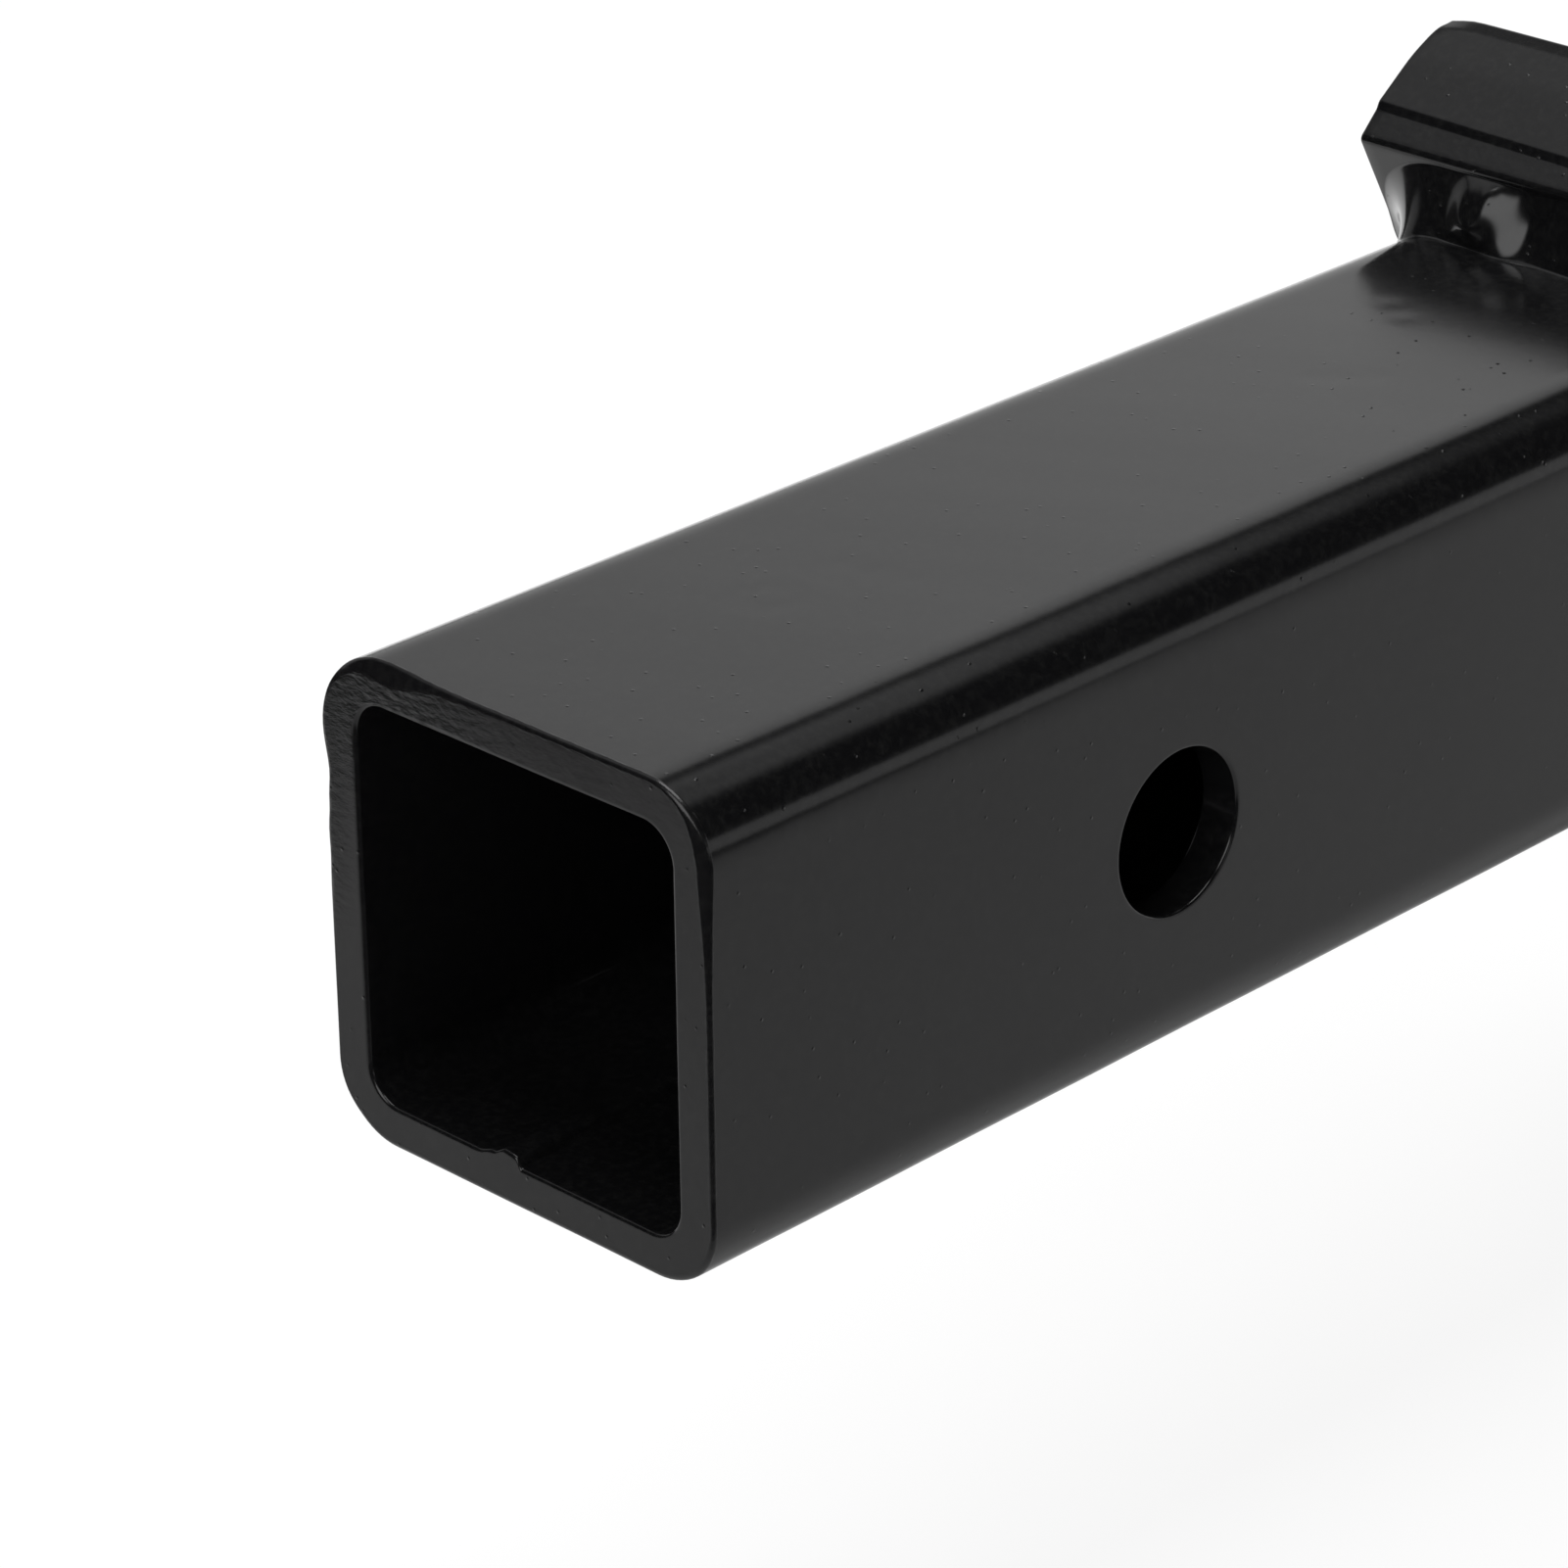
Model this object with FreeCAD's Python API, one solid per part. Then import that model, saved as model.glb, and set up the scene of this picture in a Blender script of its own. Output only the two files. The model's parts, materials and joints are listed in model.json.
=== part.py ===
"""Ball mount: a hollow square shank that slides into a receiver tube, and a bent flat tongue
bar, welded across the shank's slanted rear end, that carries a hitch ball.

Frame: origin at the centre of the hitch pin hole, on the shank's own centre line. +X runs
along the shank from its open end to the ball hole, +Y runs along the pin hole, +Z is up.
All sizes are in millimetres and all angles in degrees.
"""

import FreeCAD, Part
import math
import os

from FreeCAD import Vector

# Shank: a cold-formed square steel tube, open in front and cut on the slant behind
SHANK_WIDTH = 50.0
SHANK_HEIGHT = 50.0
SHANK_WALL = 4.5
SHANK_OUTER_RADIUS = 7.5
SHANK_INNER_RADIUS = 3.6
OPEN_END_ROUNDING = 0.8

# Seam flash: the ridge that the tube mill leaves inside, on the middle of the lower wall
FLASH_HEIGHT = 1.2
FLASH_GENTLE_WIDTH = 3.0
FLASH_STEEP_WIDTH = 1.9
FLASH_CREST_FROM_MIDDLE = 2.2
FLASH_CREST_RADIUS = 0.9

# Hitch pin hole: it passes straight through both side walls
PIN_HOLE_DIAMETER = 16.7
PIN_HOLE_TO_OPEN_END = 62.5
HOLE_RIM_BREAK = 0.4

# Tongue: a flat bar, bent once. It slopes down behind the shank and then runs level.
PIN_HOLE_TO_TONGUE = 96.1
TONGUE_WIDTH = 60.0
TONGUE_THICKNESS = 19.05
TONGUE_SLOPE = 61.0
TONGUE_STAND_UP = 7.75
TONGUE_EDGE_ROUNDING = 0.5
DROP = 101.6
BEND_RADIUS = 16.0

# Sheared upper end of the tongue: a narrow lower strip, a slightly crowned face that rolls
# over behind, and a broken far edge. Each rise is measured from the lower corner.
END_CORNER_RADIUS = 0.9
END_STRIP_WIDTH = 4.0
END_STRIP_RISE = 1.4
END_CREASE_RADIUS = 4.0
END_CROWN_FROM_CORNER = 11.0
END_CROWN_RISE = 2.35
END_CROWN_RADIUS = 20.0
ROLL_OVER_WIDTH = 2.75
ROLL_OVER_RISE = 2.15
ROLL_OVER_RADIUS = 6.0
BROKEN_EDGE_WIDTH = 0.75
BROKEN_EDGE_RISE = 1.8
BROKEN_EDGE_FALL = 0.6
BROKEN_EDGE_RADIUS = 0.4

# Ball platform: the level end of the tongue
PIN_HOLE_TO_BALL_HOLE = 222.25
BALL_HOLE_DIAMETER = 26.2
BALL_HOLE_TO_NOSE = 32.0
NOSE_CORNER_RADIUS = 20.0

# Weld beads: each is the part of a round bar that the steel leaves free, and passes through a
# toe on the tongue and a toe on the shank
TOP_WELD_RADIUS = 6.0
TOP_WELD_LEG_ON_TONGUE = 5.0
TOP_WELD_LEG_ON_SHANK = 6.0
TOP_WELD_TAPER = 3.0
BOTTOM_WELD_RADIUS = 14.0
BOTTOM_WELD_LEG_ON_TONGUE = 6.5
BOTTOM_WELD_LEG_ON_SHANK = 6.5
BOTTOM_WELD_TAPER = 8.5
SIDE_WELD_RADIUS = 5.0
SIDE_WELD_LEG_ON_TONGUE = 4.2
SIDE_WELD_LEG_ON_SHANK = 5.0
SIDE_WELD_TO_CORNER = 6.5

# Shared directions and places
HALF_WIDTH = SHANK_WIDTH / 2
HALF_HEIGHT = SHANK_HEIGHT / 2
SLOPE = math.radians(TONGUE_SLOPE)
DOWN_SLOPE = Vector(math.cos(SLOPE), 0, -math.sin(SLOPE))
THROUGH_BAR = Vector(math.sin(SLOPE), 0, math.cos(SLOPE))
ALONG = Vector(1, 0, 0)
ACROSS = Vector(0, 1, 0)
UP = Vector(0, 0, 1)
SEAT_TOP = Vector(PIN_HOLE_TO_TONGUE, 0, HALF_HEIGHT)
PLATFORM_TOP = HALF_HEIGHT - DROP
PLATFORM_BOTTOM = PLATFORM_TOP - TONGUE_THICKNESS
NOSE_X = PIN_HOLE_TO_BALL_HOLE + BALL_HOLE_TO_NOSE
REACH = 2 * (PIN_HOLE_TO_OPEN_END + NOSE_X + DROP)
TOLERANCE = 0.001


def rounded_face(corners):
    """A flat face whose outline joins (point, radius) corners by straight lines, with a
    tangent arc at each corner that has a radius."""
    count = len(corners)
    arcs = []
    for i, (corner, radius) in enumerate(corners):
        to_last = (corners[i - 1][0] - corner).normalize()
        to_next = (corners[(i + 1) % count][0] - corner).normalize()
        half_angle = to_last.getAngle(to_next) / 2
        setback = radius / math.tan(half_angle)
        sagitta = radius / math.sin(half_angle) - radius
        middle = corner + (to_last + to_next).normalize() * sagitta
        arcs.append((corner + to_last * setback, middle, corner + to_next * setback))
    edges = []
    for i, (first, middle, last) in enumerate(arcs):
        if corners[i][1] > 0:
            edges.append(Part.Arc(first, middle, last).toShape())
        edges.append(Part.LineSegment(last, arcs[(i + 1) % count][0]).toShape())
    return Part.Face(Part.Wire(edges))


def box_section(x, width, height, radius):
    """A rounded rectangle across the shank's axis at x."""
    corners = []
    for y_side, z_side in ((1, 1), (-1, 1), (-1, -1), (1, -1)):
        corners.append((Vector(x, y_side * width / 2, z_side * height / 2), radius))
    return rounded_face(corners)


def behind_seat():
    """Everything behind the sloping plane on which the shank's rear end meets the tongue."""
    outline = [
        SEAT_TOP - DOWN_SLOPE * REACH,
        SEAT_TOP + DOWN_SLOPE * REACH,
        SEAT_TOP + DOWN_SLOPE * REACH + THROUGH_BAR * REACH,
        SEAT_TOP - DOWN_SLOPE * REACH + THROUGH_BAR * REACH,
    ]
    face = Part.Face(Part.makePolygon(outline + outline[:1]))
    face.translate(-ACROSS * REACH)
    return face.extrude(ACROSS * 2 * REACH)


def shank_envelope():
    """The shank as if it were solid: its outer shape, cut to the tongue's slope."""
    section = box_section(-PIN_HOLE_TO_OPEN_END, SHANK_WIDTH, SHANK_HEIGHT, SHANK_OUTER_RADIUS)
    return section.extrude(Vector(REACH, 0, 0)).cut(behind_seat())


def shank_hollow():
    """The space inside the tube, with the groove that the seam flash leaves out of it."""
    half_width = HALF_WIDTH - SHANK_WALL
    half_height = HALF_HEIGHT - SHANK_WALL
    x = -PIN_HOLE_TO_OPEN_END
    crest = FLASH_CREST_FROM_MIDDLE
    foot_radius = FLASH_CREST_RADIUS / 3
    corners = [
        (Vector(x, half_width, half_height), SHANK_INNER_RADIUS),
        (Vector(x, -half_width, half_height), SHANK_INNER_RADIUS),
        (Vector(x, -half_width, -half_height), SHANK_INNER_RADIUS),
        (Vector(x, crest - FLASH_STEEP_WIDTH, -half_height), foot_radius),
        (Vector(x, crest, FLASH_HEIGHT - half_height), FLASH_CREST_RADIUS),
        (Vector(x, crest + FLASH_GENTLE_WIDTH, -half_height), foot_radius),
        (Vector(x, half_width, -half_height), SHANK_INNER_RADIUS),
    ]
    return rounded_face(corners).extrude(Vector(REACH, 0, 0))


def sharp_edges(shape):
    """The shape's edges at which its two faces meet at an angle instead of running smoothly
    into each other."""
    found = []
    for edge in shape.Edges:
        middle = edge.valueAt((edge.FirstParameter + edge.LastParameter) / 2)
        normals = []
        for face in shape.ancestorsOfType(edge, Part.Face):
            normals.append(face.normalAt(*face.Surface.parameter(middle)))
        if len(normals) == 2 and normals[0].getAngle(normals[1]) > math.radians(10):
            found.append(edge)
    return found


def drilled(shape, centre, axis, diameter, length):
    """The shape with a round hole through it, and both of the hole's rims broken."""
    radius = diameter / 2
    start = centre - axis * length / 2
    bit = Part.makeCylinder(radius, length, start, axis)
    for rim_centre, inward in ((start, axis), (start + axis * length, -axis)):
        tip = rim_centre - inward * HOLE_RIM_BREAK
        wide = radius + 2 * HOLE_RIM_BREAK
        bit = bit.fuse(Part.makeCone(wide, radius, 2 * HOLE_RIM_BREAK, tip, inward))
    return shape.cut(bit)


def shank_tube():
    """The hollow shank, with rounded edges at its open end and the hitch pin hole."""
    envelope = shank_envelope()
    rim_edges = []
    for edge in sharp_edges(envelope):
        if edge.BoundBox.XMax < TOLERANCE - PIN_HOLE_TO_OPEN_END:
            rim_edges.append(edge)
    tube = envelope.makeFillet(OPEN_END_ROUNDING, rim_edges).cut(shank_hollow())
    return drilled(tube, Vector(0, 0, 0), ACROSS, PIN_HOLE_DIAMETER, SHANK_WIDTH)


def on_slope(top, z):
    """The point at height z on the sloping line that passes through the point top."""
    return top + DOWN_SLOPE * ((top.z - z) / math.sin(SLOPE))


def tongue_side_view():
    """The bar seen from the side: a face whose outline starts at the lower corner of the
    sheared end, goes over the top of the bar to the nose, and comes back underneath."""
    corner = on_slope(SEAT_TOP, HALF_HEIGHT + TONGUE_STAND_UP)

    def end_point(through, rise):
        return corner + THROUGH_BAR * through - DOWN_SLOPE * rise

    far_edge = end_point(TONGUE_THICKNESS, -BROKEN_EDGE_FALL)
    return rounded_face([
        (corner, END_CORNER_RADIUS),
        (end_point(END_STRIP_WIDTH, END_STRIP_RISE), END_CREASE_RADIUS),
        (end_point(END_CROWN_FROM_CORNER, END_CROWN_RISE), END_CROWN_RADIUS),
        (end_point(TONGUE_THICKNESS - ROLL_OVER_WIDTH, ROLL_OVER_RISE), ROLL_OVER_RADIUS),
        (end_point(TONGUE_THICKNESS - BROKEN_EDGE_WIDTH, BROKEN_EDGE_RISE), BROKEN_EDGE_RADIUS),
        (far_edge, BROKEN_EDGE_RADIUS),
        (on_slope(far_edge, PLATFORM_TOP), BEND_RADIUS),
        (Vector(NOSE_X, 0, PLATFORM_TOP), 0),
        (Vector(NOSE_X, 0, PLATFORM_BOTTOM), 0),
        (on_slope(corner, PLATFORM_BOTTOM), BEND_RADIUS + TONGUE_THICKNESS),
    ])


def tongue_bar():
    """The bent bar, with a rounded nose, softened edges and the ball hole."""
    bar = tongue_side_view()
    bar.translate(-ACROSS * TONGUE_WIDTH / 2)
    bar = bar.extrude(ACROSS * TONGUE_WIDTH)
    nose_edges = []
    for edge in bar.Edges:
        if edge.BoundBox.XMin > NOSE_X - TOLERANCE and edge.BoundBox.YLength < TOLERANCE:
            nose_edges.append(edge)
    bar = bar.makeFillet(NOSE_CORNER_RADIUS, nose_edges)
    bar = bar.makeFillet(TONGUE_EDGE_ROUNDING, sharp_edges(bar))
    hole_centre = Vector(PIN_HOLE_TO_BALL_HOLE, 0, (PLATFORM_TOP + PLATFORM_BOTTOM) / 2)
    return drilled(bar, hole_centre, UP, BALL_HOLE_DIAMETER, TONGUE_THICKNESS)


def round_bar(first, last, radius):
    """A round bar with ball ends that are centred on two points."""
    along = last - first
    bar = Part.makeCylinder(radius, along.Length, first, along)
    return bar.fuse([Part.makeSphere(radius, first), Part.makeSphere(radius, last)])


def bead_centre(corner, toe_on_tongue, toe_on_shank, radius, along):
    """The centre of a bead's round bar, which runs along the corner between shank and tongue
    and passes through both toes."""
    chord = toe_on_shank - toe_on_tongue
    middle = (toe_on_shank + toe_on_tongue) / 2
    square = along.cross(chord).normalize()
    if square.dot(corner - middle) < 0:
        square = -square
    return middle + square * math.sqrt(radius**2 - (chord.Length / 2) ** 2)


def bead_across(corner, toe_on_tongue, toe_on_shank, radius, taper):
    """A bead across the whole width of the shank, whose rounded ends are trimmed flush with
    the shank's sides."""
    centre = bead_centre(corner, toe_on_tongue, toe_on_shank, radius, ACROSS)
    ball = ACROSS * (HALF_WIDTH - taper)
    bead = round_bar(centre - ball, centre + ball, radius)
    slab = Part.makeBox(REACH, SHANK_WIDTH, REACH, centre - Vector(REACH, SHANK_WIDTH, REACH) / 2)
    return bead.common(slab).cut(behind_seat()).cut(shank_envelope())


def weld_top():
    """The bead in the sharp corner over the shank, under the leaning tongue."""
    toe_on_tongue = SEAT_TOP - DOWN_SLOPE * TOP_WELD_LEG_ON_TONGUE
    toe_on_shank = SEAT_TOP - ALONG * TOP_WELD_LEG_ON_SHANK
    return bead_across(SEAT_TOP, toe_on_tongue, toe_on_shank, TOP_WELD_RADIUS, TOP_WELD_TAPER)


def weld_bottom():
    """The bead in the wide corner under the shank, on the tongue's lower face."""
    corner = on_slope(SEAT_TOP, -HALF_HEIGHT)
    toe_on_tongue = corner + DOWN_SLOPE * BOTTOM_WELD_LEG_ON_TONGUE
    toe_on_shank = corner - ALONG * BOTTOM_WELD_LEG_ON_SHANK
    return bead_across(
        corner, toe_on_tongue, toe_on_shank, BOTTOM_WELD_RADIUS, BOTTOM_WELD_TAPER
    )


def weld_on_side(side, neighbours):
    """The bead beside the shank, under the tongue that reaches past it: +1 is the left side
    and -1 the right. It fills only what its neighbours leave free."""
    height = HALF_HEIGHT - SIDE_WELD_TO_CORNER
    corner = on_slope(SEAT_TOP, height) + ACROSS * side * HALF_WIDTH
    toe_on_tongue = corner + ACROSS * side * SIDE_WELD_LEG_ON_TONGUE
    toe_on_shank = corner - THROUGH_BAR * SIDE_WELD_LEG_ON_SHANK
    first = bead_centre(corner, toe_on_tongue, toe_on_shank, SIDE_WELD_RADIUS, DOWN_SLOPE)
    last = first + DOWN_SLOPE * (2 * height / math.sin(SLOPE))
    bead = round_bar(first, last, SIDE_WELD_RADIUS)
    return bead.cut([behind_seat(), shank_envelope()] + neighbours)


def all_pieces():
    """Every piece of the ball mount, by name."""
    pieces = {
        "shank_tube": shank_tube(),
        "tongue_bar": tongue_bar(),
        "weld_top": weld_top(),
        "weld_bottom": weld_bottom(),
    }
    neighbours = [pieces["weld_top"], pieces["weld_bottom"]]
    pieces["weld_left"] = weld_on_side(1, neighbours)
    pieces["weld_right"] = weld_on_side(-1, neighbours)
    return pieces


os.makedirs("parts", exist_ok=True)
for name, piece in all_pieces().items():
    piece.exportStep(f"parts/{name}.step")
    print(f"{name}: {len(piece.Solids)} solid, {piece.Volume:.1f} mm3")
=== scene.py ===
import json
import math

import bmesh
import bpy
import numpy as np
from mathutils import Matrix, Vector


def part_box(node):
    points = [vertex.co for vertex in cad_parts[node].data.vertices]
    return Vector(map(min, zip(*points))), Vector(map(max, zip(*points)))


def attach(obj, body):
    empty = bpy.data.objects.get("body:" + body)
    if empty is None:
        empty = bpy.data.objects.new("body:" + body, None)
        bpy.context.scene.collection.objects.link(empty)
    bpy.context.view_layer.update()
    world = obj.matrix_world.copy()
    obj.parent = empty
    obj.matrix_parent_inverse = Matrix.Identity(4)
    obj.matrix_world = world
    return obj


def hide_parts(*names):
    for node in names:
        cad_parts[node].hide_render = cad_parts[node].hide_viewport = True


bl_info = {
    "name": "Ball mount",
    "version": (1, 0, 0),
    "blender": (4, 5, 0),
    "location": "View3D > Sidebar > Ball Mount",
    "description": "Builds a painted steel ball mount: square shank, bent tongue and welds",
    "category": "Add Mesh",
}

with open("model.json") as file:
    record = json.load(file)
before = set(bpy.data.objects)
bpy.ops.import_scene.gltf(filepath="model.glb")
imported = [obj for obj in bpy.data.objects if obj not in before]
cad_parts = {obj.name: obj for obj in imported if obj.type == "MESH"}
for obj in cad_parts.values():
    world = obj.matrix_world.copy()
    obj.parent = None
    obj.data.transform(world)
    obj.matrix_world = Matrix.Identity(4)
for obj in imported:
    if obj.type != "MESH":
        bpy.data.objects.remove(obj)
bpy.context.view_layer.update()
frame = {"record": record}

# Units and shared sizes. All lengths are in metres.
MM = 0.001
BODY = "root"
SHANK_LOW, SHANK_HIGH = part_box("shank_tube")
TONGUE_LOW, TONGUE_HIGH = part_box("tongue_bar")
OPEN_END = SHANK_LOW.x
HALF_WIDTH = SHANK_HIGH.y
HALF_HEIGHT = SHANK_HIGH.z
HALF_TONGUE = TONGUE_HIGH.y
NOSE_END = TONGUE_HIGH.x
PLATFORM_BOTTOM = TONGUE_LOW.z
BALL_HOLE_X = next(
    mount["pos_m"][0] for mount in frame["record"]["mounts"] if mount["name"] == "ball_hole"
)


def hex_colour(text):
    """A colour written as sRGB hex, as linear red, green, blue and alpha."""
    channels = [int(text[i:i + 2], 16) / 255 for i in (1, 3, 5)]
    linear = [c / 12.92 if c <= 0.04045 else ((c + 0.055) / 1.055) ** 2.4 for c in channels]
    return (*linear, 1.0)


def length(name, description, default):
    """A length that a user can change, given in millimetres."""
    return bpy.props.FloatProperty(
        name=name, description=description, default=default * MM, min=0.0, unit="LENGTH"
    )


class ShankSizes(bpy.types.PropertyGroup):
    """Sizes of the hollow shank."""

    wall: length("Wall", "Thickness of the tube's wall", 4.5)
    outer_radius: length("Outer radius", "Rounding of the tube's four long corners", 7.5)
    inner_radius: length("Inner radius", "Rounding of the corners inside the tube", 3.6)
    lip_radius: length("Lip rounding", "Rounding of the outer edge of the sawn open end", 0.8)
    flash_height: length("Seam flash", "Height of the ridge inside the lower wall", 1.25)
    pin_hole: length("Pin hole", "Diameter of the hitch pin hole", 16.7)


class TongueSizes(bpy.types.PropertyGroup):
    """Sizes of the bent tongue bar."""

    thickness: length("Thickness", "Thickness of the flat bar", 19.05)
    slope: bpy.props.FloatProperty(
        name="Slope", description="Angle at which the bar runs down behind the shank",
        default=math.radians(61.0), subtype="ANGLE",
    )
    seat: length("Pin hole to tongue", "From the pin hole to the tongue, along the top", 96.1)
    stand_up: length("Stand up", "Height of the sheared end's lower corner over the shank", 7.75)
    bend_radius: length("Bend radius", "Radius inside the bend", 16.0)
    nose_radius: length("Nose radius", "Rounding of the ball platform's two corners", 20.0)
    edge_radius: length("Edge rounding", "Rounding of the bar's long edges", 0.5)
    ball_hole: length("Ball hole", "Diameter of the hole for the ball's shank", 26.2)


class WeldSizes(bpy.types.PropertyGroup):
    """Sizes of the weld beads."""

    ripple_pitch: length("Ripple pitch", "Distance between the ripples of a bead", 2.3)
    ripple_height: length("Ripple height", "Height of the ripples", 0.16)


class PaintLook(bpy.types.PropertyGroup):
    """The look of the gloss paint."""

    colour: bpy.props.FloatVectorProperty(
        name="Colour", description="Colour of the paint", default=hex_colour("#0f0f10"),
        size=4, min=0.0, max=1.0, subtype="COLOR",
    )
    roughness: bpy.props.FloatProperty(
        name="Roughness", description="Roughness of the gloss surface", default=0.16,
        min=0.0, max=1.0, subtype="FACTOR",
    )


# Building skins


def grid_faces(rows, columns, closed, windows):
    """Quads of a grid: face (r, c) joins point (r, c) to its neighbours in the next row and
    column. A closed grid joins its last column to its first. Cells in the windows are left
    out."""
    across = columns if closed else columns - 1
    r, c = np.meshgrid(np.arange(rows - 1), np.arange(across), indexing="ij")
    right = (c + 1) % columns
    quads = np.stack([r * columns + c, r * columns + right,
                      (r + 1) * columns + right, (r + 1) * columns + c], -1)
    keep = np.ones(r.shape, bool)
    for first_row, last_row, first_column, last_column in windows:
        keep[first_row:last_row, first_column:last_column] = False
    return quads[keep]


class Patch:
    """A grid of points in rows and columns, with a value at each point that is 1 where the
    steel was sawn or sheared, more where the saw left deeper marks, and 0 on rolled skin."""

    def __init__(self, points, closed=False, cut=0.0, windows=()):
        self.points = np.asarray(points, float)
        self.cut = np.broadcast_to(cut, self.points.shape[:2])
        rows, columns = self.points.shape[:2]
        self.faces = grid_faces(rows, columns, closed, windows)


def skin_mesh(name, patches):
    """One mesh from several patches that share their borders."""
    points = np.concatenate([p.points.reshape(-1, 3) for p in patches])
    cut = np.concatenate([p.cut.reshape(-1) for p in patches])
    starts = np.cumsum([0] + [p.cut.size for p in patches[:-1]])
    faces = np.concatenate([p.faces + start for p, start in zip(patches, starts)])
    mesh = bpy.data.meshes.new(name)
    mesh.vertices.add(len(points))
    mesh.vertices.foreach_set("co", points.ravel())
    mesh.loops.add(faces.size)
    mesh.loops.foreach_set("vertex_index", faces.ravel())
    mesh.polygons.add(len(faces))
    mesh.polygons.foreach_set("loop_start", np.arange(0, faces.size, 4))
    mesh.attributes.new("cut", "FLOAT", "POINT").data.foreach_set("value", cut)
    mesh.update(calc_edges=True)
    return mesh


def close_skin(mesh, merge_distance=0.002 * MM):
    """Merges the points that patches share, drops loose points and slivers, and turns every
    face outwards."""
    skin = bmesh.new()
    skin.from_mesh(mesh)
    bmesh.ops.remove_doubles(skin, verts=skin.verts, dist=merge_distance)
    bmesh.ops.dissolve_degenerate(skin, edges=skin.edges, dist=merge_distance / 2)
    loose = [v for v in skin.verts if not v.link_faces]
    bmesh.ops.delete(skin, geom=loose, context="VERTS")
    bmesh.ops.recalc_face_normals(skin, faces=skin.faces)
    open_edges = sum(1 for e in skin.edges if len(e.link_faces) != 2)
    skin.to_mesh(mesh)
    skin.free()
    return open_edges


def shift_skin(mesh, offsets):
    """Moves each point along its normal by what offsets gives for all points at once."""
    count = len(mesh.vertices)
    points = np.empty(count * 3)
    mesh.vertices.foreach_get("co", points)
    normals = np.empty(count * 3)
    mesh.vertices.foreach_get("normal", normals)
    points = points.reshape(-1, 3)
    points += normals.reshape(-1, 3) * offsets(points)[:, None]
    mesh.vertices.foreach_set("co", points.ravel())
    mesh.update()


def finish_piece(name, node, patches, material, offsets=None, crease_angle=55.0):
    """Makes the visible piece that stands for a node: one closed, smoothly shaded skin that
    rides on the body and is sharp only where faces meet at more than the crease angle."""
    mesh = skin_mesh(name, patches)
    open_edges = close_skin(mesh)
    if open_edges:
        raise RuntimeError(f"{name} has {open_edges} open or crowded edges")
    if offsets:
        shift_skin(mesh, offsets)
    mesh.shade_smooth()
    mesh.set_sharp_from_angle(angle=math.radians(crease_angle))
    mesh.materials.append(material)
    piece = bpy.data.objects.new(name, mesh)
    bpy.context.scene.collection.objects.link(piece)
    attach(piece, BODY)
    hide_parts(node)


# Shared shapes

# Steps in each corner arc of the tube
ARC_STEPS = 16


def bump(distance, width):
    """A smooth bell of height 1: the exponential of minus half the squared distance, counted
    in widths."""
    return np.exp(-0.5 * (distance / width) ** 2)


def ease(low, high, value):
    """0 below low and 1 above high, with a smooth cubic step between."""
    t = np.clip((value - low) / (high - low), 0, 1)
    return t * t * (3 - 2 * t)


def smooth_through(places, knots, values):
    """A curve through a few values: between two knots it follows the smooth cubic step."""
    knots = np.asarray(knots, float)
    values = np.asarray(values, float)
    after = np.clip(np.searchsorted(knots, places), 1, len(knots) - 1)
    share = ease(knots[after - 1], knots[after], places)
    return values[after - 1] + (values[after] - values[after - 1]) * share


def rolled_waves(points):
    """The slight unevenness of rolled and painted steel: a sum of three slow sine waves that
    run in different directions, shifted so that it only ever lies below the true surface."""
    height = np.zeros(len(points))
    for direction, span, size, phase in (
        ((1.0, 0.35, 0.2), 31 * MM, 0.010 * MM, 0.4),
        ((0.55, -0.8, 0.6), 17 * MM, 0.006 * MM, 1.9),
        ((0.9, 0.5, -0.7), 9 * MM, 0.0022 * MM, 3.1),
    ):
        height += size * (np.sin(2 * np.pi * (points @ np.array(direction)) / span + phase) - 1)
    return height


def box_loop(half_width, half_height, radius, places):
    """A rounded rectangle in the Y Z plane, as points and outward directions. It runs up the
    left wall, over the top, down the right wall and back along the bottom. Each wall takes
    its points from places, a list from -1 to 1 for each wall, and each corner is a quarter
    circle."""
    points = []
    outward = []
    for k in range(4):
        turn = k * math.pi / 2
        out = np.array([math.cos(turn), math.sin(turn)])
        along = np.array([-math.sin(turn), math.cos(turn)])
        reach, half_run = (half_width, half_height) if k % 2 == 0 else (half_height, half_width)
        run = (half_run - radius) * np.asarray(places[k])[:, None]
        points.append(out * reach + along * run)
        outward.append(np.broadcast_to(out, (len(run), 2)))
        angles = turn + np.linspace(0, math.pi / 2, ARC_STEPS + 1)[1:-1]
        arc = np.stack([np.cos(angles), np.sin(angles)], -1)
        points.append(out * (reach - radius) + along * (half_run - radius) + radius * arc)
        outward.append(arc)
    return np.concatenate(points), np.concatenate(outward)


def window_border(points, window):
    """The points around a window of a grid, in order, each once."""
    top, bottom, left, right = window
    return np.concatenate([
        points[top, left:right], points[top:bottom, right],
        points[bottom, right:left:-1], points[bottom:top:-1, left],
    ])


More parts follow.
